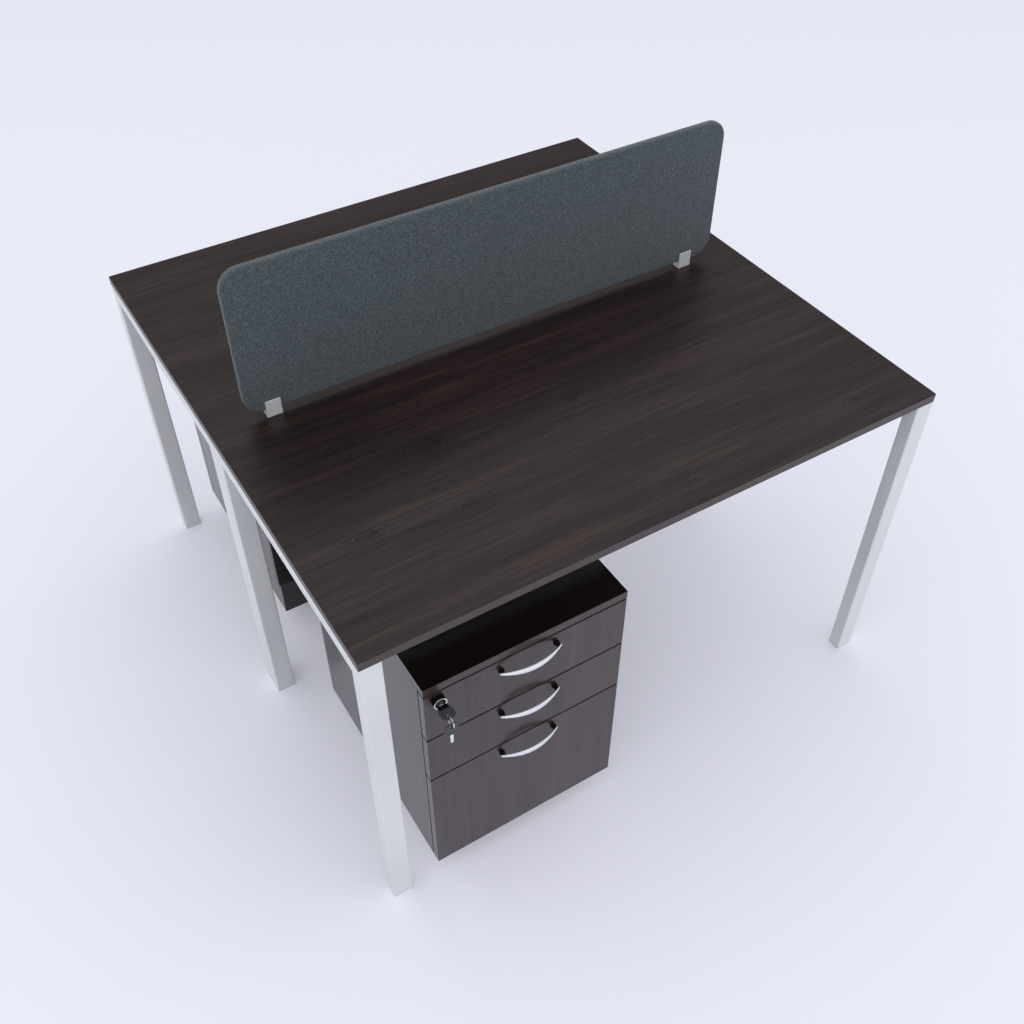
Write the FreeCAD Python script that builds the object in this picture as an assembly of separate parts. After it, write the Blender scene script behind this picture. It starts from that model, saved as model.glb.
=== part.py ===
import FreeCAD, Part
import math
import os

# Two-person office desk: one square worktop on two tube frames that stand back to back, a fabric screen
# across the middle, and two rolling pedestals with three drawers each. Sizes are in millimetres. X runs
# along the front edge, Y from the front user to the rear user, Z up. The origin is on the floor under the
# middle of the worktop.

# Worktop
top_length = 1200.0
top_depth = 1200.0
top_board = 19.0
top_height = 745.0
board_edge_bevel = 0.8

# Frame tube: the width lies along X in the side frames, the depth lies in the plane of each frame
tube_width = 40.0
tube_depth = 30.0
tube_wall = 1.5
tube_corner = 3.0

# Long rails under the worktop, with welded end plates and bolts
rail_from_frame_middle = 150.0
end_plate = 4.0
end_plate_margin = 1.5
bolt_to_tube = 1.5
bolt_head_across = 13.0
bolt_head_height = 5.5

# Leg end caps
cap_flange = 3.0
cap_plug = 18.0
cap_play = 0.2

# Modesty panel and its angle brackets
modesty_end_gap = 20.0
modesty_height = 421.0
modesty_board = 18.0
bracket_sheet = 2.0
bracket_leg = 30.0
bracket_width = 40.0
bracket_bend = 3.0
bracket_from_end = 140.0

# Fabric screen and the two feet that grip it
screen_end_inset = 70.0
screen_height = 300.0
screen_board = 15.0
screen_corner = 40.0
screen_edge_steps = 6
screen_corner_steps = 6
screen_gap = 15.0
foot_width = 30.0
foot_height = 35.0
foot_cheek = 2.0
foot_play = 0.1
foot_edge_bevel = 0.8
foot_from_left_end = 52.5
foot_from_right_end = 66.0

# Pedestal carcass
pedestal_width = 400.0
pedestal_depth = 480.0
pedestal_headroom = 79.0
pedestal_from_frame = 56.0
pedestal_overhang = 8.0
carcass_board = 18.0
back_board = 12.0

# Drawer fronts: two shallow ones, and a deep one that takes the rest of the height
front_board = 18.0
front_gap = 3.0
front_to_carcass = 2.0
shallow_front_height = 120.0

# Steel drawer boxes
box_wall = 1.2
box_back_gap = 30.0
box_lift = 10.0
lock_to_box = 4.5
file_box_lift = 30.0
file_box_drop = 30.0
rim_width = 4.0
rim_height = 7.0

# Runners: a lipped channel on the carcass side and a T-shaped rail on the drawer box
runner_space = 13.0
channel_height = 35.0
channel_to_box = 2.0
channel_sheet = 1.5
channel_slot = 24.0
channel_back_gap = 25.0
channel_setback = 3.0
runner_play = 0.3

# Bow handles
handle_length = 122.0
handle_hole_spacing = 112.0
handle_reach = 26.0
handle_end_reach = 7.0
handle_mid_height = 14.5
handle_end_height = 4.0
handle_thickness = 5.0
handle_end_thickness = 3.2
handle_drop = 24.0
handle_post_base = 10.0
handle_post_top = 5.0
handle_sides = 10
handle_station_shares = (-1.0, -0.9, -0.72, -0.5, -0.25, 0.0, 0.25, 0.5, 0.72, 0.9, 1.0)

# Lock in the upper drawer's front
bezel_diameter = 25.0
bezel_height = 10.0
bezel_ring = 3.0
bezel_recess = 1.5
bezel_bevel = 1.0
barrel_diameter = 15.0
barrel_to_side = 0.5
barrel_tail = 6.0
lock_drop = 20.0
plug_diameter = 11.0
plug_play = 0.1
lock_hole_play = 0.2
cam_thickness = 2.0
cam_width = 8.0
cam_gap = 0.5
cam_engage = 5.0
keeper_play = 1.5

# Key, ring and spare key
key_blade_width = 7.6
key_blade_thickness = 2.0
key_blade_length = 19.0
keyway_play = 0.2
key_neck_width = 18.0
key_neck_length = 8.0
key_head_width = 26.0
key_head_length = 21.0
key_head_round = 8.0
key_head_thickness = 2.6
key_shoulder_gap = 4.0
key_slot_length = 9.5
key_slot_width = 4.0
eye_round_share = 0.48
key_web = 2.2
ring_radius = 11.0
ring_wire = 1.4
ring_width = 2.0
ring_play = 0.45
spare_blade_length = 22.0

# Swivel castors
castor_headroom = 6.5
castor_from_side = 75.0
castor_from_end = 85.0
castor_trail = 17.0
wheel_radius = 25.0
wheel_width = 17.0
wheel_play = 0.5
axle_diameter = 6.0
axle_play = 0.1
hood_play = 1.5
hood_wall = 2.0
hood_web = 6.0
hood_rise = 2.0
boss_diameter = 18.0
stem_diameter = 10.0
stem_length = 15.0
stem_play = 0.1
seat_play = 0.3
hub_diameter = 16.0
wheel_tread_bevel = 2.0

# Small round pieces repeat often, so each is a prism with this many sides
round_sides = 18

# One overrun serves every cut
overrun = 2.0

# Worked out from the sizes above
rail_top = top_height - top_board
rail_middle = rail_top - tube_depth / 2
frame_inside = top_length / 2 - tube_width
bolt_radius = bolt_head_across / math.sqrt(3)
bolt_offset = tube_width / 2 + bolt_to_tube + bolt_radius
modesty_half = frame_inside - modesty_end_gap
screen_half = top_length / 2 - screen_end_inset
pedestal_height = rail_top - tube_depth - pedestal_headroom
castor_height = 2 * wheel_radius + hood_play + hood_wall + castor_headroom
pedestal_x = pedestal_from_frame + pedestal_width / 2 - frame_inside
pedestal_y = top_depth / 2 + pedestal_overhang - pedestal_depth / 2
face_y = -pedestal_depth / 2
front_back_y = face_y + front_board
carcass_y = front_back_y + front_to_carcass
inside_x = pedestal_width / 2 - carcass_board
under_top = pedestal_height - carcass_board
inside_back = pedestal_depth / 2 - back_board
box_half = inside_x - runner_space
channel_depth = runner_space - channel_to_box
lock_x = -(inside_x - barrel_to_side - barrel_diameter / 2)
lock_z = under_top - front_gap - lock_drop
cam_reach = inside_x + lock_x + cam_engage
key_face_y = face_y - bezel_height
head_start_y = key_face_y - key_shoulder_gap
head_end_y = head_start_y - key_neck_length - key_head_length
ring_top = lock_z + key_head_thickness / 2 + ring_play + ring_wire / 2
ring_y = head_end_y + key_web / 2
arc_share = 1 - math.sqrt(0.5)
half_turn = 180
quarter_turn = 90

X_AXIS = FreeCAD.Vector(1, 0, 0)
Y_AXIS = FreeCAD.Vector(0, 1, 0)
Z_AXIS = FreeCAD.Vector(0, 0, 1)
ORIGIN = FreeCAD.Vector(0, 0, 0)


def point(x, y, z):
    return FreeCAD.Vector(x, y, z)


def block(low, high):
    """A box between two opposite corners."""
    return Part.makeBox(high[0] - low[0], high[1] - low[1], high[2] - low[2], point(*low))


def rounded_outline(width, depth, radius):
    """A closed rounded rectangle in the XY plane, centred on the origin."""
    x = width / 2
    y = depth / 2
    bite = radius * arc_share
    corners = ((1, 1), (-1, 1), (-1, -1), (1, -1))
    edges = []
    last = None
    for sx, sy in corners:
        side = point(sx * x, sy * (y - radius), 0)
        end = point(sx * (x - radius), sy * y, 0)
        start, stop = (side, end) if sx == sy else (end, side)
        middle = point(sx * (x - bite), sy * (y - bite), 0)
        if last is not None:
            edges.append(Part.makeLine(last, start))
        edges.append(Part.Arc(start, middle, stop).toShape())
        last = stop
    edges.append(Part.makeLine(last, edges[0].Vertexes[0].Point))
    return Part.Wire(edges)


def plate(width, depth, radius, thickness):
    """A flat rounded plate that stands on the XY plane."""
    return Part.Face(rounded_outline(width, depth, radius)).extrude(Z_AXIS * thickness)


def moved(shape, x, y, z):
    shape.translate(point(x, y, z))
    return shape


def closed(corners):
    return Part.makePolygon(corners + corners[:1])


def skin(rings):
    """A solid through rings of corners that all have the same number, closed by a flat face at each end."""
    faces = [Part.Face(closed(rings[0])), Part.Face(closed(rings[-1]))]
    for near, far in zip(rings, rings[1:]):
        for step in range(len(near)):
            low = near[step - 1]
            high = far[step]
            for third in (near[step], far[step - 1]):
                faces.append(Part.Face(closed([low, high, third])))
    shell = Part.makeShell(faces)
    shell.sewShape()
    solid = Part.makeSolid(shell)
    if solid.Volume < 0:
        solid.reverse()
    return solid.removeSplitter()


def ring_of_points(diameter, sides, start, axis):
    """The corners of a regular polygon round an axis that runs along X, Y or Z."""
    across = Z_AXIS if abs(axis.z) < abs(axis.x) + abs(axis.y) else X_AXIS
    other = axis.cross(across)
    angles = [2 * math.pi * step / sides for step in range(sides)]
    return [point(*start) + (across * math.cos(a) + other * math.sin(a)) * (diameter / 2) for a in angles]


def cylinder(diameter, start, axis, length):
    """A round bar or hole, as a many-sided prism."""
    return Part.Face(closed(ring_of_points(diameter, round_sides, start, axis))).extrude(axis * length)


def shaft(diameter, start, axis, length):
    """A truly round bar, for what turns in a hole."""
    return Part.makeCylinder(diameter / 2, length, point(*start), axis)


def cone(diameters, start, axis, length):
    """A tapered round bar, as a many-sided prism."""
    far = point(*start) + axis * length
    return skin([ring_of_points(diameters[0], round_sides, start, axis),
                 ring_of_points(diameters[1], round_sides, far, axis)])


def softened(board):
    """A board with its arrises eased all round."""
    return board.makeChamfer(board_edge_bevel, board.Edges)


def rail_places():
    """The Y places of the long rails, front to rear."""
    middle = top_depth / 4
    return [row * (middle + step * rail_from_frame_middle) for row in (-1, 1) for step in (-1, 1)]


def bolt_places():
    """The side and Y place of every rail bolt."""
    ends = [(side, step) for side in (-1, 1) for step in (-1, 1)]
    return [(side, y + step * bolt_offset) for y in rail_places() for side, step in ends]


def desktop():
    half_x = top_length / 2
    half_y = top_depth / 2
    return softened(block((-half_x, -half_y, rail_top), (half_x, half_y, top_height)))


def leg_places():
    """The centres of the eight legs."""
    x = (top_length - tube_width) / 2
    ys = ((top_depth - tube_depth) / 2, tube_depth / 2)
    return [(side * x, row * y) for side in (-1, 1) for row in (-1, 1) for y in ys]


def tube_section(width, depth, inset):
    """The tube's outline with rounded corners, or its square-cornered hollow where inset is the wall."""
    if inset == 0:
        return rounded_outline(width, depth, tube_corner)
    x = width / 2 - inset
    y = depth / 2 - inset
    return closed([point(x, y, 0), point(-x, y, 0), point(-x, -y, 0), point(x, -y, 0)])


def tube_sweep(x, outer_y, inner_y, foot_z, inset):
    """A mitred sweep of the tube's section, up one leg, along the rail and down the other leg."""
    corners = [point(x, outer_y, foot_z), point(x, outer_y, rail_middle)]
    corners += [point(x, inner_y, rail_middle), point(x, inner_y, foot_z)]
    path = Part.makePolygon(corners)
    section = tube_section(tube_width, tube_depth, inset)
    return path.makePipeShell([moved(section, x, outer_y, foot_z)], True, False, 1)


def side_frame(side, row):
    """Two legs and a top rail welded from one tube, mitred at the corners, hollow and open at the feet."""
    x = side * (top_length - tube_width) / 2
    outer_y = row * (top_depth - tube_depth) / 2
    inner_y = row * tube_depth / 2
    frame = tube_sweep(x, outer_y, inner_y, cap_flange, 0)
    return frame.cut(tube_sweep(x, outer_y, inner_y, cap_flange - overrun, tube_wall))


def long_rail(y):
    """A tube between the side frames with an end plate welded on each end."""
    length = 2 * (frame_inside - end_plate)
    solid, hollow = [Part.Face(tube_section(tube_depth, tube_width, inset)) for inset in (0, tube_wall)]
    rail = solid.cut(hollow).extrude(Z_AXIS * length)
    rail.rotate(ORIGIN, Y_AXIS, quarter_turn)
    rail = moved(rail, -length / 2, y, rail_middle)
    half = bolt_offset + bolt_radius + end_plate_margin
    for side in (-1, 1):
        ends = sorted((side * frame_inside, side * (frame_inside - end_plate)))
        rail = rail.fuse(block((ends[0], y - half, rail_top - tube_depth), (ends[1], y + half, rail_top)))
    return rail.removeSplitter()


def rail_bolt(side, y):
    """The hexagon head of a bolt, tight against an end plate."""
    seat = frame_inside - end_plate
    angles = [math.radians(half_turn * step / 3) for step in range(7)]
    ring = [point(0, bolt_radius * math.cos(a), bolt_radius * math.sin(a)) for a in angles]
    head = Part.Face(Part.makePolygon(ring)).extrude(X_AXIS * -side * bolt_head_height)
    return moved(head, side * seat, y, rail_middle)


def leg_end_cap(x, y):
    """A plastic foot: a flange the size of the tube and a plug inside it."""
    half_x = tube_width / 2
    half_y = tube_depth / 2
    flange = block((-half_x, -half_y, 0), (half_x, half_y, cap_flange))
    flange = flange.makeChamfer(tube_corner * arc_share, [e for e in flange.Edges if e.BoundBox.ZLength > 0])
    plug_x = half_x - tube_wall - cap_play
    plug_y = half_y - tube_wall - cap_play
    plug = block((-plug_x, -plug_y, cap_flange), (plug_x, plug_y, cap_flange + cap_plug))
    return moved(flange.fuse(plug), x, y, 0)


def modesty_panel():
    half_y = modesty_board / 2
    low = (-modesty_half, -half_y, rail_top - modesty_height)
    return softened(block(low, (modesty_half, half_y, rail_top)))


def modesty_bracket(x, row):
    """A folded angle between the panel's face and the worktop's underside."""
    upright = block((0, 0, -bracket_leg), (bracket_width, bracket_sheet, 0))
    flat = block((0, 0, -bracket_sheet), (bracket_width, bracket_leg, 0))
    angle = upright.fuse(flat).removeSplitter()
    corner = point(bracket_width / 2, bracket_sheet, -bracket_sheet)
    inner = [e for e in angle.Edges if e.CenterOfMass.distanceToPoint(corner) < bracket_sheet / 2]
    angle = angle.makeFillet(bracket_bend, inner)
    angle = moved(angle, -bracket_width / 2, modesty_board / 2, 0)
    if row < 0:
        angle.rotate(ORIGIN, Z_AXIS, half_turn)
    return moved(angle, x, 0, rail_top)


def screen_outline(inset, y):
    """The screen's outline as a ring of corners, drawn in by an inset."""
    radius = screen_corner - inset
    half_x = screen_half - screen_corner
    half_z = screen_height / 2 - screen_corner
    middle = top_height + screen_gap + screen_height / 2
    ring = []
    for quarter, (side, rise) in enumerate(((1, 1), (-1, 1), (-1, -1), (1, -1))):
        for step in range(screen_corner_steps + 1):
            angle = (quarter + step / screen_corner_steps) * math.pi / 2
            ring.append(point(side * half_x + radius * math.cos(angle), y,
                              middle + rise * half_z + radius * math.sin(angle)))
    return ring


def screen_panel():
    """The fabric-covered board: rounded corners, and edges that turn half a circle in flat steps."""
    half = screen_board / 2
    angles = [math.pi * step / screen_edge_steps for step in range(screen_edge_steps + 1)]
    return skin([screen_outline(half * (1 - math.sin(a)), -half * math.cos(a)) for a in angles])


def screen_foot(x):
    """A foot on the worktop with two cheeks that grip the screen's lower edge."""
    inner = screen_board / 2 + foot_play
    outer = inner + foot_cheek
    half = foot_width / 2
    foot = block((-half, -outer, 0), (half, outer, foot_height))
    foot = foot.makeChamfer(foot_edge_bevel, [e for e in foot.Edges if e.BoundBox.ZMax > foot_height / 2])
    slot = block((-half - overrun, -inner, screen_gap), (half + overrun, inner, foot_height + overrun))
    return moved(foot.cut(slot), x, 0, top_height)


def castor_places():
    """The stems' places under a pedestal, each with its name."""
    x = pedestal_width / 2 - castor_from_side
    y = pedestal_depth / 2 - castor_from_end
    return {"front_left": (-x, -y), "front_right": (x, -y), "back_left": (-x, y), "back_right": (x, y)}


def carcass_side(side):
    """An upright board. The left one has a keeper slot that the lock's cam swings up into."""
    ends = sorted((side * inside_x, side * pedestal_width / 2))
    board = block((ends[0], carcass_y, castor_height), (ends[1], pedestal_depth / 2, under_top))
    if side < 0:
        cam_y = front_back_y + barrel_tail + cam_gap
        half = cam_width / 2
        sweep = math.hypot(cam_reach, half)
        drop = math.sqrt(sweep ** 2 - (inside_x + lock_x) ** 2)
        low = (-inside_x - cam_engage - keeper_play, cam_y - keeper_play, lock_z - drop - keeper_play)
        high = (-inside_x + overrun, cam_y + cam_thickness + keeper_play, lock_z + half + keeper_play)
        board = board.cut(block(low, high))
    return board


def carcass():
    """Two sides, a base with the castors' sockets, and a back between the sides."""
    back_y = pedestal_depth / 2
    base_top = castor_height + carcass_board
    base = block((-inside_x, carcass_y, castor_height), (inside_x, inside_back, base_top))
    for x, y in castor_places().values():
        socket = cylinder(stem_diameter + 2 * stem_play, (x, y, castor_height - overrun), Z_AXIS,
                          stem_length + 2 * overrun)
        base = base.cut(socket)
    back = block((-inside_x, inside_back, castor_height), (inside_x, back_y, under_top))
    return Part.makeCompound([carcass_side(-1), carcass_side(1), base, back])


def top_panel():
    half_x = pedestal_width / 2
    half_y = pedestal_depth / 2
    return softened(block((-half_x, -half_y, under_top), (half_x, half_y, pedestal_height)))


def drawer_table():
    """Each drawer's name with the low and high edge of its front and of its box."""
    table = {}
    high = under_top - front_gap
    for name in ("upper", "middle"):
        low = high - shallow_front_height
        box_high = high - lock_drop - barrel_diameter / 2 - lock_to_box
        table[name] = (low, high, low + box_lift, box_high)
        high = low - front_gap
    table["file"] = (castor_height, high, castor_height + file_box_lift, high - file_box_drop)
    return table


def drawer_front(low, high, has_lock):
    half = pedestal_width / 2
    front = softened(block((-half, face_y, low), (half, front_back_y, high)))
    if has_lock:
        start = (lock_x, face_y - overrun, lock_z)
        hole = cylinder(barrel_diameter + 2 * lock_hole_play, start, Y_AXIS, front_board + 2 * overrun)
        front = front.cut(hole)
    return front


def drawer_box(low, high):
    """A folded steel tray with rolled rims on its sides and a running rail on each flank."""
    back = inside_back - box_back_gap
    tray = block((-box_half, front_back_y, low), (box_half, back, high))
    cavity = block((-box_half + box_wall, front_back_y + box_wall, low + box_wall),
                   (box_half - box_wall, back - box_wall, high + overrun))
    tray = tray.cut(cavity)
    middle = (low + high) / 2
    head_half = channel_height / 2 - channel_sheet - runner_play
    neck_half = channel_slot / 2 - runner_play
    head_inner = inside_x - channel_depth + channel_sheet + runner_play
    head_outer = inside_x - channel_sheet - runner_play
    rail_front = carcass_y + channel_setback
    for side in (-1, 1):
        spans = [(box_half - rim_width, box_half, rim_height / 2, high - rim_height / 2, front_back_y),
                 (box_half, head_outer, neck_half, middle, rail_front),
                 (head_inner, head_outer, head_half, middle, rail_front)]
        for near, far, half, z, start in spans:
            ends = sorted((side * near, side * far))
            tray = tray.fuse(block((ends[0], start, z - half), (ends[1], back, z + half)))
    return tray.removeSplitter()


def runner_channel(side, z):
    """A lipped channel on the carcass side."""
    wall = side * inside_x
    mouth = side * (inside_x - channel_depth)
    front = carcass_y + channel_setback
    back = inside_back - channel_back_gap
    half = channel_height / 2
    ends = sorted((wall, mouth))
    channel = block((ends[0], front, z - half), (ends[1], back, z + half))
    hollow = sorted((wall - side * channel_sheet, mouth + side * channel_sheet))
    channel = channel.cut(block((hollow[0], front - overrun, z - half + channel_sheet),
                                (hollow[1], back + overrun, z + half - channel_sheet)))
    slot = sorted((mouth - side * overrun, mouth + side * (channel_sheet + overrun)))
    return channel.cut(block((slot[0], front - overrun, z - channel_slot / 2),
                             (slot[1], back + overrun, z + channel_slot / 2)))


def runners():
    """The six fixed channels."""
    middles = [(box_low + box_high) / 2 for low, high, box_low, box_high in drawer_table().values()]
    return Part.makeCompound([runner_channel(side, z) for z in middles for side in (-1, 1)])


def bow_stand(share):
    """How far the bow's middle line stands off the drawer front, at a share of its half length."""
    middle = handle_reach - handle_thickness / 2
    return middle - (middle - handle_end_reach) * share ** 2


def bow_section(share):
    """The bow's oval section at a share of its half length."""
    swell = 1 - share ** 2
    half_height = (handle_end_height + (handle_mid_height - handle_end_height) * swell) / 2
    half_thickness = (handle_end_thickness + (handle_thickness - handle_end_thickness) * swell) / 2
    angles = [2 * math.pi * step / handle_sides for step in range(handle_sides)]
    x = share * handle_length / 2
    stand = bow_stand(share)
    return [point(x, half_thickness * math.cos(a) - stand, half_height * math.sin(a)) for a in angles]


def handle(front_high):
    """A bow that swells towards its middle, on two tapered posts."""
    grip = skin([bow_section(share) for share in handle_station_shares])
    reach = bow_stand(handle_hole_spacing / handle_length)
    for side in (-1, 1):
        foot = (side * handle_hole_spacing / 2, 0, 0)
        grip = grip.fuse(cone((handle_post_base, handle_post_top), foot, -Y_AXIS, reach))
    return moved(grip, 0, face_y, front_high - handle_drop)


def lock_barrel():
    """A turned barrel through the drawer front with a raised bezel ring."""
    shoulder = (lock_x, key_face_y + bezel_bevel, lock_z)
    bezel = cylinder(bezel_diameter, shoulder, Y_AXIS, bezel_height - bezel_bevel)
    tip = cone((bezel_diameter, bezel_diameter - 2 * bezel_bevel), shoulder, -Y_AXIS, bezel_bevel)
    bezel = bezel.fuse(tip)
    tail = front_board + barrel_tail
    barrel = bezel.fuse(cylinder(barrel_diameter, (lock_x, face_y, lock_z), Y_AXIS, tail))
    recess = bezel_diameter - 2 * bezel_ring
    start = key_face_y - overrun
    barrel = barrel.cut(cylinder(recess, (lock_x, start, lock_z), Y_AXIS, bezel_recess + overrun))
    bore = plug_diameter + 2 * plug_play
    return barrel.cut(cylinder(bore, (lock_x, start, lock_z), Y_AXIS, bezel_height + tail + 2 * overrun))


def lock_plug():
    """The turning plug with its keyway, and the cam on its tail, which hangs down when unlocked."""
    front = key_face_y + bezel_recess
    cam_y = front_back_y + barrel_tail + cam_gap
    plug = shaft(plug_diameter, (lock_x, front, lock_z), Y_AXIS, cam_y + cam_thickness - front)
    half_width = key_blade_width / 2 + keyway_play
    half_height = key_blade_thickness / 2 + keyway_play
    keyway = block((lock_x - half_width, front - overrun, lock_z - half_height),
                   (lock_x + half_width, key_face_y + key_blade_length + overrun, lock_z + half_height))
    half = cam_width / 2
    cam = block((lock_x - half, cam_y, lock_z - cam_reach), (lock_x + half, cam_y + cam_thickness, lock_z))
    return plug.cut(keyway).fuse(cam).removeSplitter()


def key_plate():
    """A key's flat head along -Y: its neck starts at the origin and its eye is near the far end."""
    length = key_neck_length + key_head_length
    half = key_head_thickness / 2
    head = plate(key_head_width, key_head_length, key_head_round, key_head_thickness)
    head = moved(head, 0, key_head_length / 2 - length, -half)
    neck_half = key_neck_width / 2
    neck = block((-neck_half, -key_neck_length - key_head_round, -half), (neck_half, 0, half))
    eye_round = key_slot_width * eye_round_share
    eye = plate(key_slot_width, key_slot_length, eye_round, key_head_thickness + overrun)
    eye = moved(eye, 0, key_web + key_slot_length / 2 - length, -half - overrun / 2)
    return head.fuse(neck).removeSplitter().cut(eye)


def key():
    """The key in the plug, with its head flat."""
    head = moved(key_plate(), lock_x, head_start_y, lock_z)
    half_width = key_blade_width / 2
    half_height = key_blade_thickness / 2
    blade = block((lock_x - half_width, head_start_y, lock_z - half_height),
                  (lock_x + half_width, key_face_y + key_blade_length, lock_z + half_height))
    return head.fuse(blade).removeSplitter()


def spare_key():
    """A wire ring through the key's eye with the spare key hanging on it."""
    ring_z = ring_top - ring_radius
    start = (lock_x - ring_width / 2, ring_y, ring_z)
    ring = cylinder(2 * ring_radius + ring_wire, start, X_AXIS, ring_width)
    ring = ring.cut(cylinder(2 * ring_radius - ring_wire, start, X_AXIS, ring_width))
    length = key_neck_length + key_head_length
    half_width = key_blade_width / 2
    half_height = key_blade_thickness / 2
    blade = block((-half_width, 0, -half_height), (half_width, spare_blade_length, half_height))
    spare = key_plate().fuse(blade).removeSplitter()
    spare.rotate(ORIGIN, X_AXIS, -quarter_turn)
    eye_top = ring_z - ring_radius + ring_wire / 2 + ring_play
    return Part.makeCompound([ring, moved(spare, lock_x, ring_y, eye_top + key_web - length)])


def castor_hood(x, y):
    """A twin-wheel castor's body: fender, centre web with the axle's bore, swivel boss and stem."""
    axle_y = y + castor_trail
    axle_z = wheel_radius
    half = hood_web / 2 + wheel_play + wheel_width
    inner = wheel_radius + hood_play
    outer = inner + hood_wall

    def disc(radius, half_width):
        return cylinder(2 * radius, (x - half_width, axle_y, axle_z), X_AXIS, 2 * half_width)

    upper = block((x - half, axle_y - outer, axle_z + hood_rise), (x + half, axle_y + outer, axle_z + outer))
    middle = inner + hood_wall / 2
    fender = disc(outer, half).cut(disc(inner, half + overrun)).common(upper)
    web = disc(middle, hood_web / 2).common(upper).fuse(disc(hub_diameter / 2, hood_web / 2))
    boss = cylinder(boss_diameter, (x, y, axle_z + hood_rise), Z_AXIS,
                    castor_height - seat_play - axle_z - hood_rise).cut(disc(middle, half + overrun))
    stem = shaft(stem_diameter, (x, y, castor_height - 2 * overrun), Z_AXIS, 2 * overrun + stem_length)
    bore = disc(axle_diameter / 2 + axle_play, half)
    return fender.fuse([web, boss, stem]).removeSplitter().cut(bore)


def castor_wheels(x, y):
    """A pair of wheels turned with the axle that joins them through the web."""
    inner_face = hood_web / 2 + wheel_play
    outer_face = inner_face + wheel_width
    pair = shaft(axle_diameter, (-inner_face, 0, 0), X_AXIS, 2 * inner_face)
    stations = [(inner_face, wheel_radius), (outer_face - wheel_tread_bevel, wheel_radius),
                (outer_face, wheel_radius - wheel_tread_bevel)]
    for side in (-1, 1):
        rings = []
        for across, radius in stations:
            rings.append(ring_of_points(2 * radius, round_sides, (side * across, 0, 0), X_AXIS))
        pair = pair.fuse(skin(rings))
    return moved(pair, x, y + castor_trail, wheel_radius)


def pedestal_pieces():
    """Every piece of one pedestal, with its middle over the origin and its fronts facing -Y."""
    pieces = {"carcass": carcass(), "top_panel": top_panel(), "runners": runners()}
    for name, (low, high, box_low, box_high) in drawer_table().items():
        pieces[name + "_drawer_front"] = drawer_front(low, high, name == "upper")
        pieces[name + "_drawer_box"] = drawer_box(box_low, box_high)
        pieces[name + "_handle"] = handle(high)
    pieces["lock_barrel"] = lock_barrel()
    pieces["lock_plug"] = lock_plug()
    pieces["key"] = key()
    pieces["spare_key"] = spare_key()
    for name, (x, y) in castor_places().items():
        pieces["castor_" + name + "_hood"] = castor_hood(x, y)
        pieces["castor_" + name + "_wheels"] = castor_wheels(x, y)
    return pieces


def desk_pieces():
    """Every piece of the desk itself."""
    pieces = {"desktop": desktop()}
    for row, row_name in ((-1, "front"), (1, "rear")):
        for side, side_name in ((-1, "left"), (1, "right")):
            pieces["side_frame_" + row_name + "_" + side_name] = side_frame(side, row)
    pieces["long_rails"] = Part.makeCompound([long_rail(y) for y in rail_places()])
    pieces["rail_bolts"] = Part.makeCompound([rail_bolt(side, y) for side, y in bolt_places()])
    pieces["leg_end_caps"] = Part.makeCompound([leg_end_cap(x, y) for x, y in leg_places()])
    pieces["modesty_panel"] = modesty_panel()
    bracket_x = modesty_half - bracket_from_end
    places = [(side * bracket_x, row) for side in (-1, 1) for row in (-1, 1)]
    pieces["modesty_brackets"] = Part.makeCompound([modesty_bracket(x, row) for x, row in places])
    pieces["screen_panel"] = screen_panel()
    feet = (foot_from_left_end - screen_half, screen_half - foot_from_right_end)
    pieces["screen_feet"] = Part.makeCompound([screen_foot(x) for x in feet])
    return pieces


def write_parts():
    """One STEP file for each piece. The rear pedestal is the front one turned round."""
    os.makedirs("parts", exist_ok=True)
    pieces = desk_pieces()
    for name, shape in pedestal_pieces().items():
        rear = shape.copy()
        rear.rotate(ORIGIN, Z_AXIS, half_turn)
        pieces["front_pedestal_" + name] = moved(shape, pedestal_x, -pedestal_y, 0)
        pieces["rear_pedestal_" + name] = moved(rear, pedestal_x, pedestal_y, 0)
    for name, shape in pieces.items():
        shape.exportStep("parts/" + name + ".step")


write_parts()
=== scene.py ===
import math
import bpy
from mathutils import Matrix, Vector


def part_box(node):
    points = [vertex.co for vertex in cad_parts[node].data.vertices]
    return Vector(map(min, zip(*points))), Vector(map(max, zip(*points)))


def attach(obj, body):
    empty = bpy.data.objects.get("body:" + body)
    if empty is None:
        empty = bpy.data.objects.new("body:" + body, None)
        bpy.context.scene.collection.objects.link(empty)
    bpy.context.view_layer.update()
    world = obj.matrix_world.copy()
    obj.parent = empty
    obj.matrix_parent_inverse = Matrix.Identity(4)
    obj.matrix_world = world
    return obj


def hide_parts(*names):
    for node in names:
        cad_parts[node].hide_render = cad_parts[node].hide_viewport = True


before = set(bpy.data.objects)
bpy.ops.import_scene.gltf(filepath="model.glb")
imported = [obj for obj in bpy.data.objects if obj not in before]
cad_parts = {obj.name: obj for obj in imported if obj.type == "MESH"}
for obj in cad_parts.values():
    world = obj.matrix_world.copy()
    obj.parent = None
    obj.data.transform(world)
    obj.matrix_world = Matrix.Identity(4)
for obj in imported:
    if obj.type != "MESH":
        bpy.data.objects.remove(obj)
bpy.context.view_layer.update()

# The whole desk stands in one frame: X along the front edge, Y from the front user to the rear one, Z up.
# The camera stands where the photograph was taken, high over the front left corner.
MM = 0.001
camera_down = math.radians(45.14)
camera_right = math.radians(31.6)
camera_data = bpy.data.cameras.new("camera")
camera_data.sensor_width = 36
camera_data.lens = 38.77
camera = bpy.data.objects.new("camera", camera_data)
camera.location = (-0.9213, -1.557, 2.0514)
camera.rotation_euler = (math.radians(90) - camera_down, 0, -camera_right)
bpy.context.collection.objects.link(camera)
bpy.context.scene.camera = camera
bpy.context.scene.view_settings.view_transform = "Standard"


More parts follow.
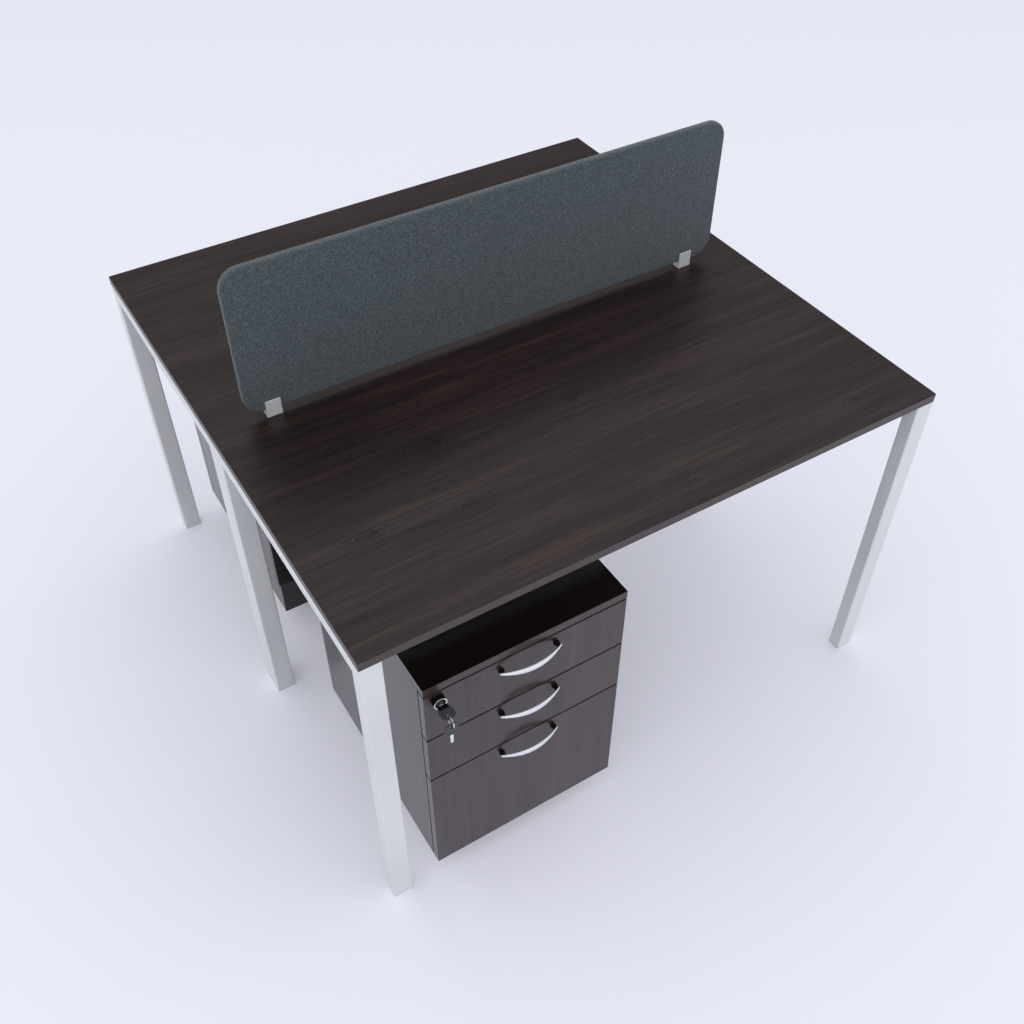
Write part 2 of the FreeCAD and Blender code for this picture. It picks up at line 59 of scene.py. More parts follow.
# Worktop: one square particle board, faced with dark walnut melamine whose grain runs along the front edge, with
# a plastic edge band in the same colour. Its upright faces are drawn paler than the top all the same: painted light,
# for the brighter light that falls on them. It lies on the rails and is screwed to them from below.
X, Y, Z = 0, 1, 2
noise_low, noise_high = 0.3, 0.7
mix_first_colour, mix_second_colour, mix_colour_out = 6, 7, 2


def linear(hex_colour):
    """An sRGB hex colour as linear values."""
    parts = [int(hex_colour[i:i + 2], 16) / 255 for i in (1, 3, 5)]
    return tuple(c / 12.92 if c <= 0.04045 else ((c + 0.055) / 1.055) ** 2.4 for c in parts) + (1,)


def add_node(tree, kind, inputs=None, **settings):
    """Adds a node, sets its properties, and sets its inputs or links them to another node's output."""
    made = tree.nodes.new(kind)
    for name, value in settings.items():
        setattr(made, name, value)
    for name, value in (inputs or {}).items():
        if isinstance(value, bpy.types.NodeSocket):
            tree.links.new(value, made.inputs[name])
        else:
            made.inputs[name].default_value = value
    return made


def new_material(name, **shader_values):
    """A material with one Principled shader, its node tree, and its Object coordinates."""
    material = bpy.data.materials.new(name)
    material.use_nodes = True
    tree = material.node_tree
    shader = tree.nodes["Principled BSDF"]
    for socket, value in shader_values.items():
        shader.inputs[socket.replace("_", " ")].default_value = value
    place = add_node(tree, "ShaderNodeTexCoord").outputs["Object"]
    return material, tree, shader, place


def ramp(tree, factor, *stops):
    """A colour ramp from (position, hex colour) stops."""
    made = add_node(tree, "ShaderNodeValToRGB", {"Fac": factor})
    elements = made.color_ramp.elements
    while len(elements) < len(stops):
        elements.new(0.5)
    for element, (position, colour) in zip(elements, stops):
        element.position = position
        element.color = linear(colour)
    return made.outputs["Color"]


def noise_at(tree, place, size, detail):
    """Noise with grains of about one size."""
    return add_node(tree, "ShaderNodeTexNoise", {"Vector": place, "Scale": 1 / size, "Detail": detail}).outputs["Fac"]


def tint(tree, shader, noise, dark, pale):
    """Lets a noise set the colour, between two hex colours."""
    tree.links.new(ramp(tree, noise, (noise_low, dark), (noise_high, pale)), shader.inputs["Base Color"])


def vary_roughness(tree, shader, noise, at_low, at_high):
    """Lets a noise set the roughness, between two values."""
    made = add_node(tree, "ShaderNodeMapRange", {"Value": noise, "From Min": noise_low, "From Max": noise_high,
                                                 "To Min": at_low, "To Max": at_high})
    tree.links.new(made.outputs[0], shader.inputs["Roughness"])


def emboss(tree, shader, height, strength, depth):
    """Lets a noise raise the surface."""
    made = add_node(tree, "ShaderNodeBump", {"Height": height, "Strength": strength, "Distance": depth})
    tree.links.new(made.outputs[0], shader.inputs["Normal"])


def mix_colours(tree, factor, first, second):
    """The first colour where the factor is 0, and the second where it is 1."""
    inputs = {"Factor": factor, mix_first_colour: first, mix_second_colour: second}
    return add_node(tree, "ShaderNodeMix", inputs, data_type="RGBA").outputs[mix_colour_out]


def dress(names, material):
    """Gives CAD nodes a material."""
    for name in names:
        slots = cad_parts[name].data.materials
        slots.clear()
        slots.append(material)


def melamine(name, grain_axis, tones, shift, roughness, knots=0.0, edge=None, ior=1.47):
    """Walnut print on melamine: soft bands, streaks and fine hairlines, with sparse ringed knots.

    Knots is the strength of the knots. An edge colour is painted on the upright faces, where the plastic band runs;
    paler than the print, it is painted light.
    """
    material, tree, shader, place = new_material(name, IOR=ior)

    def stretched(across, length):
        """Coordinates whose unit is one size across the grain and another along it."""
        scale = [1 / across] * 3
        scale[grain_axis] = 1 / length
        return add_node(tree, "ShaderNodeMapping", {"Vector": place, "Location": shift, "Scale": scale}).outputs[0]

    def noise(across, length, detail=2.0):
        inputs = {"Vector": stretched(across, length), "Scale": 1, "Detail": detail, "Roughness": 0.55}
        return add_node(tree, "ShaderNodeTexNoise", inputs).outputs["Fac"]

    def math_node(operation, *values):
        return add_node(tree, "ShaderNodeMath", dict(enumerate(values)), operation=operation).outputs[0]

    def fade(value, none_at, full_at):
        inputs = {"Value": value, "From Min": none_at, "From Max": full_at}
        return add_node(tree, "ShaderNodeMapRange", inputs).outputs[0]

    bands = noise(across=38 * MM, length=620 * MM)
    streaks = noise(across=7 * MM, length=260 * MM)
    hairs = noise(across=1.7 * MM, length=120 * MM)
    tone = math_node("MULTIPLY_ADD", streaks, 0.45, math_node("MULTIPLY", bands, 0.55))
    tone = math_node("MULTIPLY_ADD", hairs, 0.6, tone)
    if knots:
        cells = stretched(across=140 * MM, length=300 * MM)
        spots = add_node(tree, "ShaderNodeTexVoronoi", {"Vector": cells, "Scale": 1, "Randomness": 0.55})
        wobble = noise(across=26 * MM, length=60 * MM, detail=1.0)
        from_core = math_node("MULTIPLY_ADD", wobble, 0.18, spots.outputs["Distance"])
        rings = math_node("PINGPONG", math_node("MULTIPLY", from_core, 64.0), 1.0)
        rings = math_node("MULTIPLY", math_node("SUBTRACT", rings, 0.4), fade(from_core, 0.32, 0.14))
        tone = math_node("MULTIPLY_ADD", rings, -knots, tone)
        tone = math_node("MULTIPLY_ADD", fade(from_core, 0.21, 0.13), -0.7 * knots, tone)
    colour = ramp(tree, tone, *zip((0.6, 0.8, 1.0), tones))
    # Painted light: the upright faces take the paler edge colour instead of the print.
    if edge:
        normal = add_node(tree, "ShaderNodeNewGeometry").outputs["Normal"]
        upward = add_node(tree, "ShaderNodeSeparateXYZ", {"Vector": normal}).outputs["Z"]
        colour = mix_colours(tree, math_node("ABSOLUTE", upward), linear(edge), colour)
    tree.links.new(colour, shader.inputs["Base Color"])
    vary_roughness(tree, shader, hairs, roughness + 0.04, roughness - 0.04)
    emboss(tree, shader, hairs, 0.05, 0.1 * MM)
    return material


worktop_tones = ("#100606", "#251616", "#3a2929")
worktop_print = melamine("walnut_melamine_top", X, worktop_tones, shift=(0, 0, -0.05), roughness=0.38, knots=0.42,
                         edge="#3d3333", ior=1.5)
dress(["desktop"], worktop_print)

# Modesty panel: a board in the same print, with its grain along its length. It hangs under the worktop's middle,
# screwed to folded angle brackets.
modesty_print = melamine("modesty_melamine", X, worktop_tones, shift=(0.4, 0.3, 0.2), roughness=0.3, knots=0.2)
dress(["modesty_panel"], modesty_print)


# Frames: square-cornered steel tube, welded and ground, then powder coated white. The coat has a faint orange
# peel. The long rails are bolted between the side frames.
def powder_coat(name, dark, pale, roughness):
    """Sprayed and baked powder: an even colour with a fine orange peel, drawn at 3 mm so that it shows."""
    material, tree, shader, place = new_material(name, IOR=1.5)
    peel = noise_at(tree, place, 3 * MM, 2)
    cloud = noise_at(tree, place, 180 * MM, 2)
    tint(tree, shader, cloud, dark, pale)
    vary_roughness(tree, shader, peel, roughness - 0.05, roughness + 0.05)
    emboss(tree, shader, peel, 0.08, 0.1 * MM)
    return material


frame_white = powder_coat("white_powder_coat", "#e2e4e8", "#e9ebee", 0.45)
dress([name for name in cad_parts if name.startswith("side_frame")], frame_white)
dress(["long_rails", "modesty_brackets"], frame_white)


# End caps: white moulded polythene plugs, with which the desk stands on the floor. They are pushed into the lower
# ends of the leg tubes and hold by friction.
def moulded_plastic(name, dark, pale, roughness, grit, specular=0.5):
    """Moulded plastic with a fine spark-eroded grain."""
    material, tree, shader, place = new_material(name, IOR=1.46, Specular_IOR_Level=specular)
    grain = noise_at(tree, place, grit, 3)
    tint(tree, shader, grain, dark, pale)
    vary_roughness(tree, shader, grain, roughness - 0.08, roughness + 0.08)
    emboss(tree, shader, grain, 0.15, 0.1 * MM)
    return material


dress(["leg_end_caps"], moulded_plastic("white_polythene", "#d2d4d9", "#dcdee2", 0.5, 1.2 * MM))


# Bolts: zinc-plated hexagon heads. They hold the long rails, being screwed through the rails' end plates into the
# side frames.
def plated_metal(name, dark, pale, roughness, streak):
    """Plated or polished metal with faint polishing streaks, 12 times as long as they are wide."""
    material, tree, shader, place = new_material(name, Metallic=1.0)
    scale = (1 / streak, 1 / (streak * 12), 1 / streak)
    streaks = add_node(tree, "ShaderNodeMapping", {"Vector": place, "Scale": scale}).outputs[0]
    polish = noise_at(tree, streaks, 1, 3)
    tint(tree, shader, polish, dark, pale)
    vary_roughness(tree, shader, polish, roughness * 0.8, roughness * 1.2)
    return material


dress(["rail_bolts"], plated_metal("zinc_plate", "#9b9da0", "#b4b6b8", 0.35, 1 * MM))


# Screen: a thin board with rounded corners, wrapped in wadding and a teal-grey felted cloth pulled tight, so that
# its edges are soft. It stands in two feet, clear of the worktop.
smooth_below = math.radians(40)


def deselect():
    for obj in bpy.context.selected_objects:
        obj.select_set(False)


def pick(obj, mode, test):
    """In edit mode, selects only the verts, edges or faces that pass the test."""
    bpy.ops.object.mode_set(mode="EDIT")
    bpy.ops.mesh.select_mode(type=mode)
    bpy.ops.mesh.select_all(action="DESELECT")
    bpy.ops.object.mode_set(mode="OBJECT")
    mesh = obj.data
    chosen = {"VERT": mesh.vertices, "EDGE": mesh.edges, "FACE": mesh.polygons}[mode]
    for item in chosen:
        item.select = test(item)
    bpy.ops.object.mode_set(mode="EDIT")


def new_piece(name):
    """Names the primitive just added and makes its size and place part of its mesh."""
    obj = bpy.context.object
    obj.name = name
    obj.data.name = name
    bpy.ops.object.transform_apply(location=True, rotation=True, scale=True)
    return obj


def along(obj, edge, axis):
    """True where an edge runs along an axis."""
    a, b = (obj.data.vertices[i].co for i in edge.vertices)
    return abs((b - a).normalized()[axis]) > 0.99


def felted_cloth(name):
    """Felted screen cloth: teal grey with a pebbled nap of about 2 mm, and a fine weave under it."""
    material, tree, shader, place = new_material(name, Roughness=0.92, Sheen_Weight=0.25, Sheen_Roughness=0.5)
    nap = noise_at(tree, place, 2.25 * MM, 2)
    weave = noise_at(tree, place, 1.1 * MM, 2)
    height = add_node(tree, "ShaderNodeMath", {0: weave, 1: 0.4, 2: nap}, operation="MULTIPLY_ADD").outputs[0]
    colour = ramp(tree, height, (0.5, "#353e43"), (0.7, "#495359"), (0.9, "#636e75"))
    tree.links.new(colour, shader.inputs["Base Color"])
    emboss(tree, shader, height, 0.8, 1 * MM)
    return material


low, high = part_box("screen_panel")
screen_middle = (low + high) / 2
screen_size = high - low
screen_corner = 40 * MM
screen_edge_share = 0.3
deselect()
bpy.ops.mesh.primitive_cube_add(size=1, location=screen_middle, scale=screen_size)
screen = new_piece("screen_cloth")
pick(screen, "EDGE", lambda e: along(screen, e, Y))
bpy.ops.mesh.bevel(offset=screen_corner, segments=10, affect="EDGES")
pick(screen, "EDGE", lambda e: not along(screen, e, Y))
bpy.ops.mesh.bevel(offset=screen_size.y * screen_edge_share, segments=6, affect="EDGES")
bpy.ops.object.mode_set(mode="OBJECT")
bpy.ops.object.shade_smooth_by_angle(angle=smooth_below)
screen.data.materials.append(felted_cloth("felted_screen_cloth"))
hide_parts("screen_panel")
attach(screen, "desk")

# Screen feet: small aluminium clamps, coated light grey. They grip the screen's lower edge and are screwed to the
# worktop.
dress(["screen_feet"], powder_coat("grey_clamp_coat", "#c2c3c8", "#cbccd1", 0.4))

# Pedestal boards: the same walnut print, cut and edged as separate boards and dowelled together. The grain stands
# upright on the sides and fronts, and runs across on the top. Each front is screwed to its drawer's box. The boards
# are
# drawn in different tones: the top darker than the sides, as painted shade for the shade under the worktop, with its
# upright edges paler as painted light; the fronts paler and redder than the sides, the paleness being painted light
# for the floor light they catch.
side_tones = ("#1a1111", "#241a1a", "#2e2323")
# Painted shade: the top's tones are darker than the sides', for the shade under the worktop.
top_tones_with_painted_shade = ("#0d0707", "#140c0c", "#1b1212")
# Painted light: the fronts' tones are paler than the sides', for the floor light they catch.
front_tones_with_painted_light = ("#1f1214", "#2f1f21", "#3f2c2e")
drawers = ("upper", "middle", "file")
for which in ("front", "rear"):
    boards = which + "_pedestal_"
    dress([boards + "carcass"],
          melamine(which + "_carcass_melamine", Z, side_tones, shift=(0.3, 0.7, 0.1), roughness=0.22))
    dress([boards + "top_panel"],
          melamine(which + "_top_painted_shade_melamine", X, top_tones_with_painted_shade, shift=(0.9, 0.2, 0.5), roughness=0.22, knots=0.1,
                   edge="#3c3232"))
    for step, drawer in enumerate(drawers):
        dress([boards + drawer + "_drawer_front"],
              melamine(which + "_" + drawer + "_melamine", Z, front_tones_with_painted_light, shift=(1.7 * step, 0.4, 0.6 * step),
                       roughness=0.22, knots=0.12, ior=1.6))

# Drawer boxes and runners: folded sheet steel, coated dark grey, and plated. The boxes' rails run in lipped channels,
# which are screwed to the pedestal's sides.
box_coat = powder_coat("dark_box_coat", "#47494c", "#515356", 0.5)
for which in ("front", "rear"):
    boards = which + "_pedestal_"
    dress([boards + drawer + "_drawer_box" for drawer in drawers], box_coat)
    dress([boards + "runners"], plated_metal(which + "_runner_zinc", "#85878a", "#9a9c9f", 0.4, 2 * MM))

# Bow handles: die-cast zinc bows, chrome plated and polished. Each swells towards its middle and is screwed on
# from inside the drawer through two dark moulded posts at its tips.
chrome = plated_metal("polished_chrome", "#f0f0f2", "#fafafb", 0.1, 2 * MM)
post_black = moulded_plastic("black_handle_post", "#0c0a0a", "#131010", 0.55, 1.2 * MM, 0.1)
top_low, top_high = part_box("front_pedestal_top_panel")
to_rear = Matrix.Translation((top_low.x + top_high.x, 0, 0)) @ Matrix.Rotation(math.pi, 4, "Z")


def copy_to(master, name, matrix):
    """A copy of a piece with its own mesh, moved there."""
    made = master.copy()
    made.data = master.data.copy()
    made.name = name
    made.data.name = name
    made.data.transform(matrix)
    bpy.context.collection.objects.link(made)
    return made


def on_both(master, name, node, body, shift=(0, 0, 0)):
    """Copies a piece built on the front pedestal to its place there and, turned round, on the rear one."""
    for which, turn in (("front", Matrix()), ("rear", to_rear)):
        made = copy_to(master, which + "_" + name, turn @ Matrix.Translation(shift))
        if node:
            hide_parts(which + "_pedestal_" + node)
        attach(made, which + "_" + body)


def joined(name, *pieces):
    """Joins pieces into the first one, which keeps all their materials."""
    deselect()
    for obj in pieces:
        obj.select_set(True)
    bpy.context.view_layer.objects.active = pieces[0]
    bpy.ops.object.join()
    pieces[0].name = name
    pieces[0].data.name = name
    return pieces[0]


def round_bar(name, radius, start, axis, length, material, vertices=48):
    """A round bar from a start point along an axis."""
    deselect()
    turn = {"X": (0, math.radians(90), 0), "Y": (math.radians(90), 0, 0), "Z": (0, 0, 0)}[axis]
    middle = Vector(start)
    middle["XYZ".index(axis)] += length / 2
    bpy.ops.mesh.primitive_cylinder_add(vertices=vertices, radius=radius, depth=abs(length), location=middle,
                                        rotation=turn)
    made = new_piece(name)
    made.data.materials.append(material)
    return made


def slab(name, low_corner, high_corner, material):
    """A box between two corners."""
    deselect()
    low_corner, high_corner = Vector(low_corner), Vector(high_corner)
    bpy.ops.mesh.primitive_cube_add(size=1, location=(low_corner + high_corner) / 2, scale=high_corner - low_corner)
    made = new_piece(name)
    made.data.materials.append(material)
    return made


def ease(obj, width, segments=2):
    """Rounds a piece's sharp edges with an applied bevel, and smooths the rest."""
    deselect()
    bpy.context.view_layer.objects.active = obj
    obj.select_set(True)
    bevel = obj.modifiers.new("ease", "BEVEL")
    bevel.width = width
    bevel.segments = segments
    bevel.limit_method = "ANGLE"
    bevel.angle_limit = smooth_below
    bpy.ops.object.modifier_apply(modifier="ease")
    bpy.ops.object.shade_smooth_by_angle(angle=smooth_below)


low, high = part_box("front_pedestal_upper_handle")
front_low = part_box("front_pedestal_upper_drawer_front")[0]
bow_middle = (low + high) / 2
bow_half = (high.x - low.x) / 2
bow_reach = front_low.y - low.y
bow_end_reach = 7 * MM
bow_half_height = 8 * MM
bow_end_half_height = 2.6 * MM
bow_half_thick = 2.5 * MM
bow_end_half_thick = 1.6 * MM
bow_tip_inset = 0.4


def swelling(share, at_end, at_middle):
    """A measure of the bow that swells from its ends, at share -1 and 1, to its middle, at share 0."""
    return at_end + (at_middle - at_end) * (1 - share ** 2)


def bow_stand(share):
    """How far the middle of the bow's section stands off the drawer front."""
    return swelling(share, bow_end_reach, bow_reach - bow_half_thick)


deselect()
bpy.ops.mesh.primitive_cylinder_add(vertices=20, radius=1, depth=2, rotation=(0, math.radians(90), 0))
bow = new_piece("bow")
pick(bow, "EDGE", lambda e: along(bow, e, X))
bpy.ops.mesh.subdivide(number_cuts=31)
pick(bow, "FACE", lambda f: abs(f.normal.x) > 0.9)
bpy.ops.mesh.inset(thickness=bow_tip_inset)
bpy.ops.object.mode_set(mode="OBJECT")
for vertex in bow.data.vertices:
    share = vertex.co.x
    thick = swelling(share, bow_end_half_thick, bow_half_thick)
    tall = swelling(share, bow_end_half_height, bow_half_height)
    vertex.co = Vector((bow_middle.x + share * bow_half, front_low.y - bow_stand(share) + vertex.co.y * thick,
                        bow_middle.z + vertex.co.z * tall))
ease(bow, 0.5 * MM)
bow.data.materials.append(chrome)

post_from_middle = 55 * MM
post_foot_radius, post_tip_radius = 6 * MM, 2.8 * MM
post_length = bow_stand(post_from_middle / bow_half)
post_pair = []
for side in (-1, 1):
    deselect()
    post_middle = (bow_middle.x + side * post_from_middle, front_low.y - post_length / 2, bow_middle.z)
    bpy.ops.mesh.primitive_cone_add(vertices=32, radius1=post_foot_radius, radius2=post_tip_radius, depth=post_length,
                                    location=post_middle, rotation=(math.radians(90), 0, 0))
    post = new_piece("post")
    post.data.materials.append(post_black)
    post_pair.append(post)
posts = joined("posts", *post_pair)
ease(posts, 0.5 * MM)

for drawer in drawers:
    low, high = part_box("front_pedestal_" + drawer + "_handle")
    drop = (0, 0, (low.z + high.z) / 2 - bow_middle.z)
    on_both(bow, drawer + "_bow", drawer + "_handle", drawer + "_drawer", drop)
    on_both(posts, drawer + "_posts", None, drawer + "_drawer", drop)
for master in (bow, posts):
    bpy.data.objects.remove(master)

# Lock: a black sleeve through the upper drawer front, with a polished ring pressed on its outer end. The plug in
# it turns with the key and swings a cam behind the front.
ring_depth = 3 * MM
ring_face = 2.2 * MM
mouth_depth = 1.5 * MM
tail_radius = 7.4 * MM
low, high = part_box("front_pedestal_lock_barrel")
lock_middle = (low + high) / 2
sleeve_radius = (high.x - low.x) / 2
sleeve_start = (lock_middle.x, front_low.y, lock_middle.z)
sleeve = round_bar("sleeve", sleeve_radius, sleeve_start, "Y", low.y - front_low.y, post_black)
pick(sleeve, "FACE", lambda f: f.normal.y < -0.9)
bpy.ops.mesh.inset(thickness=ring_face)
bpy.ops.mesh.extrude_region_move(TRANSFORM_OT_translate={"value": (0, mouth_depth, 0)})
bpy.ops.object.mode_set(mode="OBJECT")
ease(sleeve, 0.7 * MM, 3)
sleeve.data.materials.append(chrome)
for face in sleeve.data.polygons:
    from_axis = math.hypot(face.center.x - lock_middle.x, face.center.z - lock_middle.z)
    face.material_index = int(face.center.y < low.y + ring_depth and from_axis > sleeve_radius - ring_face)
tail = round_bar("tail", tail_radius, sleeve_start, "Y", high.y - front_low.y, post_black)
sleeve = joined("sleeve", sleeve, tail)
on_both(sleeve, "lock_sleeve", "lock_barrel", "upper_drawer")
bpy.data.objects.remove(sleeve)
dark_steel = plated_metal("oiled_plug_steel", "#434346", "#545457", 0.35, 1 * MM)
dress(["front_pedestal_lock_plug", "rear_pedestal_lock_plug"], dark_steel)

# Keys: flat plated steel blades with moulded grey heads. One stands in the lock, with a dark collar at its neck. The
# other hangs from it on a split ring of two turns of plated wire.
key_grey = moulded_plastic("grey_key_head", "#3c3e41", "#484a4d", 0.4, 0.9 * MM, 0.3)
head_width, head_length, head_thick, head_round = 26 * MM, 21 * MM, 2.3 * MM, 8 * MM
neck_width, neck_length, neck_thick = 18 * MM, 8 * MM, 2.6 * MM
eye_width, eye_length, eye_web = 4 * MM, 9.5 * MM, 2.2 * MM
blade_width, blade_thick = 7.6 * MM, 2 * MM
spare_blade_length, spare_blade_narrowing = 22 * MM, 0.72
ring_radius, wire_radius = 11 * MM, 0.5 * MM


def round_corners(obj, radius, segments):
    """Rounds the corners that stand along Z."""
    pick(obj, "EDGE", lambda e: along(obj, e, Z))
    bpy.ops.mesh.bevel(offset=radius, segments=segments, affect="EDGES")
    bpy.ops.object.mode_set(mode="OBJECT")


far_end = -neck_length - head_length
eye_start = far_end + eye_web
head = slab("head", (-head_width / 2, far_end, -head_thick / 2), (head_width / 2, -neck_length / 2, head_thick / 2),
            key_grey)
round_corners(head, head_round, 8)
eye = slab("eye", (-eye_width / 2, eye_start, -head_thick), (eye_width / 2, eye_start + eye_length, head_thick),
           key_grey)
round_corners(eye, eye_width * 0.45, 5)
deselect()
bpy.context.view_layer.objects.active = head
head.select_set(True)
cut = head.modifiers.new("eye", "BOOLEAN")
cut.object = eye
bpy.ops.object.modifier_apply(modifier="eye")
bpy.data.objects.remove(eye)
ease(head, 0.35 * MM)
collar = slab("collar", (-neck_width / 2, -neck_length, -neck_thick / 2), (neck_width / 2, 0, neck_thick / 2),
              post_black)
ease(collar, 0.4 * MM)

low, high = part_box("front_pedestal_key")
blade_length = high.y - (low.y - far_end)
blade = slab("blade", (-blade_width / 2, 0, -blade_thick / 2), (blade_width / 2, blade_length, blade_thick / 2),
             chrome)
ease(blade, 0.3 * MM)
to_lock = Matrix.Translation(((low.x + high.x) / 2, low.y - far_end, (low.z + high.z) / 2))
key = joined("key", *[copy_to(piece, "part", to_lock) for piece in (head, collar, blade)])
on_both(key, "lock_key", "key", "lock")

low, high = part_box("front_pedestal_spare_key")
ring_middle = Vector(((low.x + high.x) / 2, (low.y + high.y) / 2, high.z - ring_radius - wire_radius))
hang = Matrix.Translation((ring_middle.x, ring_middle.y, low.z + spare_blade_length))
hang = hang @ Matrix.Rotation(-math.pi / 2, 4, "X")
cut_down = Matrix.Diagonal((spare_blade_narrowing, spare_blade_length / blade_length, 1, 1))
spare_collar = copy_to(collar, "part", hang)
spare_collar.data.materials[0] = key_grey
spare_parts = [copy_to(head, "part", hang), spare_collar, copy_to(blade, "part", hang @ cut_down)]
for side in (-1, 1):
    deselect()
    bpy.ops.mesh.primitive_torus_add(major_segments=48, minor_segments=10, major_radius=ring_radius,
                                     minor_radius=wire_radius, rotation=(0, math.radians(90), 0),
                                     location=ring_middle + Vector((side * wire_radius, 0, 0)))
    turn = new_piece("turn")
    bpy.ops.object.shade_smooth()
    turn.data.materials.append(chrome)
    spare_parts.append(turn)
spare = joined("spare", *spare_parts)
on_both(spare, "hanging_key", "spare_key", "key_ring")
for master in (key, spare, head, collar, blade):
    bpy.data.objects.remove(master)

# Castors: black nylon twin-wheel castors. A fender and a web are moulded in one with a boss round the steel pin, which
# is pressed into the pedestal's base. Two wheels share an axle through the web.
castor_black = moulded_plastic("black_nylon", "#17171a", "#222226", 0.45, 1.5 * MM)
tread_grey = moulded_plastic("grey_tread", "#2a2a2d", "#343437", 0.6, 1.5 * MM)
pin_nickel = plated_metal("lock_nickel", "#a9aaad", "#c4c5c8", 0.22, 1 * MM)
low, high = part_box("front_pedestal_castor_front_left_wheels")
axle = (low + high) / 2
axle_radius, axle_length = 2.9 * MM, 10 * MM
wheel_radius = (high.z - low.z) / 2
wheel_outer = (high.x - low.x) / 2
wheel_width, wheel_clearance = 17 * MM, 0.2 * MM
tread_height, dish_depth = 5 * MM, 1.5 * MM
dish_width, button_height = 9 * MM, 1 * MM
axle_start = (axle.x - axle_length / 2, axle.y, axle.z)
wheel_parts = [round_bar("axle", axle_radius, axle_start, "X", axle_length, castor_black, 24)]
for side in (-1, 1):
    start = (axle.x + side * (wheel_outer - wheel_width), axle.y, axle.z)
    wheel = round_bar("wheel", wheel_radius - wheel_clearance, start, "X", side * wheel_width, tread_grey)
    pick(wheel, "FACE", lambda f: f.normal.x * side > 0.9)
    bpy.ops.mesh.inset(thickness=tread_height)
    bpy.ops.mesh.extrude_region_move(TRANSFORM_OT_translate={"value": (-side * dish_depth, 0, 0)})
    bpy.ops.mesh.inset(thickness=dish_width)
    bpy.ops.mesh.extrude_region_move(TRANSFORM_OT_translate={"value": (side * button_height, 0, 0)})
    bpy.ops.object.mode_set(mode="OBJECT")
    ease(wheel, 0.45 * MM)
    wheel_parts.append(wheel)
wheels = joined("wheels", *wheel_parts)

low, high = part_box("front_pedestal_castor_front_left_hood")
fender_radius = min(axle.y - low.y, high.y - axle.y)
fender_wall, fender_lift = 2 * MM, 1 * MM
web_half, web_lift, hub_radius = 3 * MM, 2 * MM, 8 * MM
pin_offset = 17 * MM
boss_radius, boss_start, boss_length = 8.8 * MM, 48 * MM, 11.5 * MM
pin_radius, pin_start = 4.9 * MM, 58 * MM
pin_x, pin_y = (low.x + high.x) / 2, axle.y - pin_offset
web_start = (axle.x - web_half, axle.y, axle.z)
fender = round_bar("fender", fender_radius, (low.x, axle.y, axle.z), "X", high.x - low.x, castor_black)
pick(fender, "FACE", lambda f: abs(f.normal.x) > 0.9 or f.center.z < axle.z + fender_lift)
bpy.ops.mesh.delete(type="FACE")
bpy.ops.object.mode_set(mode="OBJECT")
wall = fender.modifiers.new("wall", "SOLIDIFY")
wall.thickness = fender_wall
bpy.ops.object.modifier_apply(modifier="wall")
ease(fender, 0.5 * MM)
web = round_bar("web", fender_radius - fender_wall / 2, web_start, "X", 2 * web_half, castor_black)
pick(web, "FACE", lambda f: True)
bpy.ops.mesh.bisect(plane_co=(axle.x, axle.y, axle.z + web_lift), plane_no=(0, 0, 1), use_fill=True,
                    clear_inner=True)
bpy.ops.object.mode_set(mode="OBJECT")
hub = round_bar("hub", hub_radius, web_start, "X", 2 * web_half, castor_black, 32)
boss = round_bar("boss", boss_radius, (pin_x, pin_y, boss_start), "Z", boss_length, castor_black, 32)
pin = round_bar("pin", pin_radius, (pin_x, pin_y, pin_start), "Z", high.z - pin_start, pin_nickel, 32)
for piece in (web, hub, boss, pin):
    ease(piece, 0.4 * MM)
hood = joined("hood", fender, web, hub, boss, pin)

for corner in ("front_left", "front_right", "back_left", "back_right"):
    node = "castor_" + corner
    low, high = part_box("front_pedestal_" + node + "_wheels")
    shift = (low + high) / 2 - axle
    on_both(wheels, "wheels_" + corner + "_pair", node + "_wheels", "wheels_" + corner, shift)
    on_both(hood, "castor_" + corner + "_fender", node + "_hood", "castor_" + corner, shift)
for master in (wheels, hood):
    bpy.data.objects.remove(master)
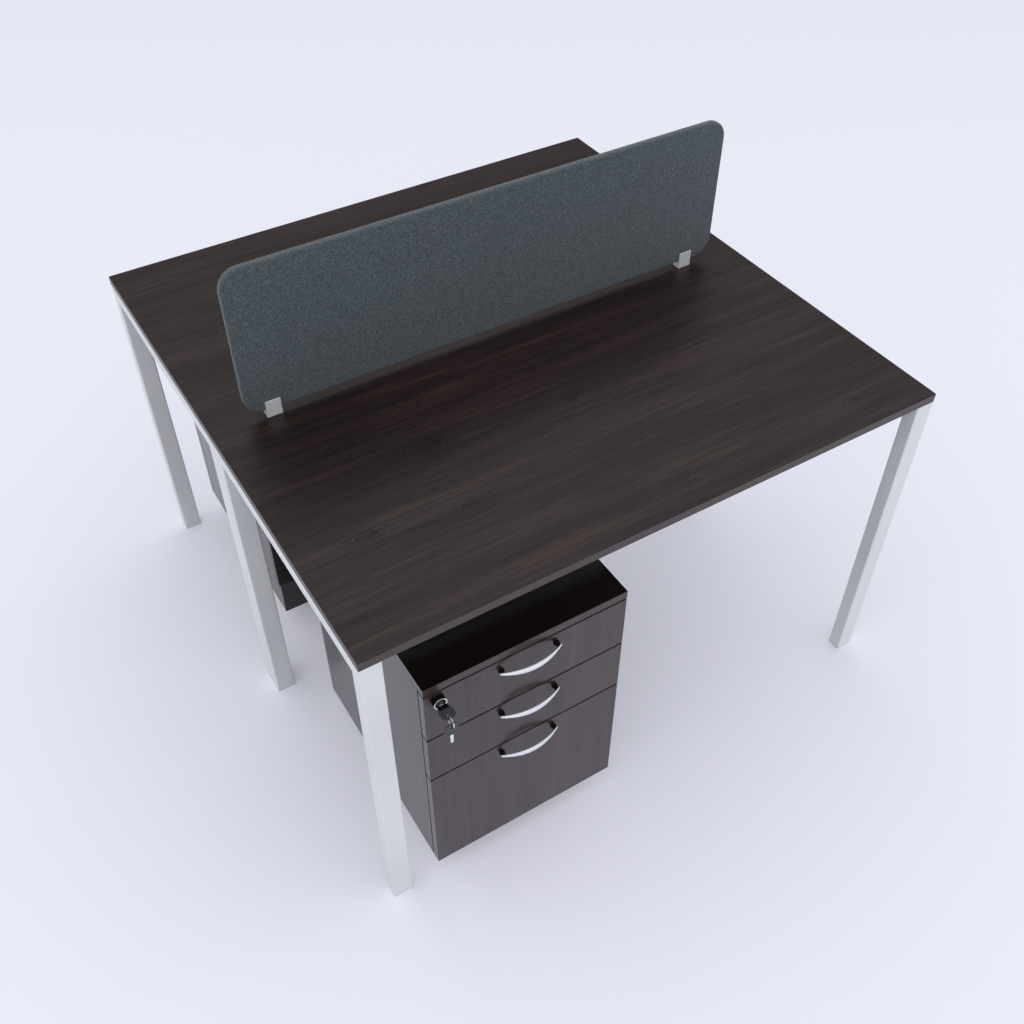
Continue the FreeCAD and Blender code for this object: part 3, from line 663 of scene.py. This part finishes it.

# Floor and light: a pale blue-white studio floor under a soft sky. Painted light: the floor's colour is a little paler
# in front of the desk, standing in for light falling from the front. The floor glows a little where it is seen, so
# that the desk's shadow on it stays soft. In gloss the sky is brightest high up and dim low down, as over a table in
# a studio.
floor_size = 200
floor_glow = 0.3
away = (0.52, 0.85, 0)
painted_light_start, painted_light_end = -1.1, 3.8
deselect()
bpy.ops.mesh.primitive_plane_add(size=floor_size)
floor = new_piece("floor")
material, tree, shader, place = new_material("studio_floor", Roughness=0.9, Specular_IOR_Level=0.0)
distance = add_node(tree, "ShaderNodeVectorMath", {0: place, 1: away}, operation="DOT_PRODUCT").outputs["Value"]
fade = add_node(tree, "ShaderNodeMapRange", {"Value": distance, "From Min": painted_light_start, "From Max": painted_light_end})
# Painted light: the floor's colour, and so its glow, is paler on the near side of the desk and darker away from it.
floor_colour_with_painted_light = ramp(tree, fade.outputs[0], (0.0, "#d6d7e3"), (1.0, "#caccd6"))
tree.links.new(floor_colour_with_painted_light, shader.inputs["Base Color"])
tree.links.new(floor_colour_with_painted_light, shader.inputs["Emission Color"])
rays = add_node(tree, "ShaderNodeLightPath").outputs
seen = add_node(tree, "ShaderNodeMath", {0: rays["Is Camera Ray"], 1: rays["Is Glossy Ray"]}, operation="ADD")
seen = add_node(tree, "ShaderNodeMath", {0: seen.outputs[0], 1: rays["Is Transmission Ray"]}, operation="MAXIMUM")
glow = add_node(tree, "ShaderNodeMath", {0: seen.outputs[0], 1: floor_glow}, operation="MULTIPLY")
tree.links.new(glow.outputs[0], shader.inputs["Emission Strength"])
floor.data.materials.append(material)

world = bpy.data.worlds.new("studio")
bpy.context.scene.world = world
world.use_nodes = True
tree = world.node_tree
direction = add_node(tree, "ShaderNodeTexCoord").outputs["Generated"]
height = add_node(tree, "ShaderNodeSeparateXYZ", {"Vector": direction}).outputs["Z"]
sky = add_node(tree, "ShaderNodeMapRange", {"Value": height, "To Min": 0.85, "To Max": 1.1}).outputs[0]
gloss = ramp(tree, height, (0.37, "#3f3f3f"), (0.6, "#b8b8b8"), (0.77, "#ffffff"), (1.0, "#808080"))
rays = add_node(tree, "ShaderNodeLightPath").outputs
level = add_node(tree, "ShaderNodeMix", {"Factor": rays["Is Glossy Ray"], "A": sky, "B": gloss})
level = add_node(tree, "ShaderNodeMix", {"Factor": rays["Is Camera Ray"], "A": level.outputs[0], "B": 1.0})
hue = mix_colours(tree, rays["Is Camera Ray"], linear("#ffffff"), linear("#e9ebf4"))
background = tree.nodes["Background"]
tree.links.new(hue, background.inputs["Color"])
tree.links.new(level.outputs[0], background.inputs["Strength"])
